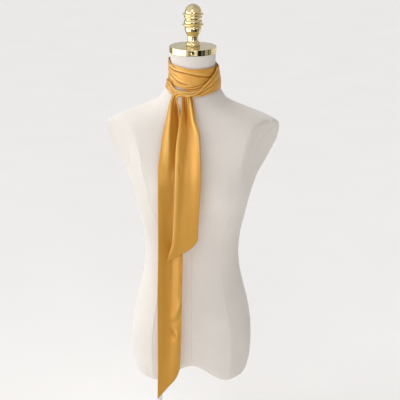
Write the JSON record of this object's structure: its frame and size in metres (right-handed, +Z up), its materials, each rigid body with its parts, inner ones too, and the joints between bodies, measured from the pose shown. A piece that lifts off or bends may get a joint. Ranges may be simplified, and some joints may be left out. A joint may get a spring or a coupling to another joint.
{
  "type": "ribbon scarf on dress form",
  "caption": "Long satin ribbon scarf wound round the neck of a limbless dress form and tied in one loose low knot, its uneven tails hanging, on a slim stand.",
  "frame": {"origin": "on the floor, below the axis of the neck", "axes": "+Z up; the form faces -Y; +X at the right of someone who looks at its front"},
  "size_m": [0.4054, 0.33, 1.1503],
  "materials": {
    "form_torso": "matt cream cotton jersey over a firm shell",
    "neck_cap": "polished pale gold",
    "finial": "polished pale gold",
    "stand_rod": "white satin paint",
    "stand_base": "white satin paint",
    "wrap_front": "mustard gold satin",
    "wrap_right": "mustard gold satin",
    "wrap_left": "mustard gold satin",
    "knot_band": "mustard gold satin",
    "tail_long": "mustard gold satin",
    "tail_short": "mustard gold satin"
  },
  "bodies": {
    "root": {"form_torso": "form_torso", "neck_cap": "neck_cap", "finial": "finial", "stand_rod": "stand_rod", "stand_base": "stand_base", "wrap_front": "wrap_front", "wrap_right": "wrap_right", "wrap_left": "wrap_left", "knot_band": "knot_band", "tail_long": "tail_long", "tail_short": "tail_short"}
  },
  "joints": []
}
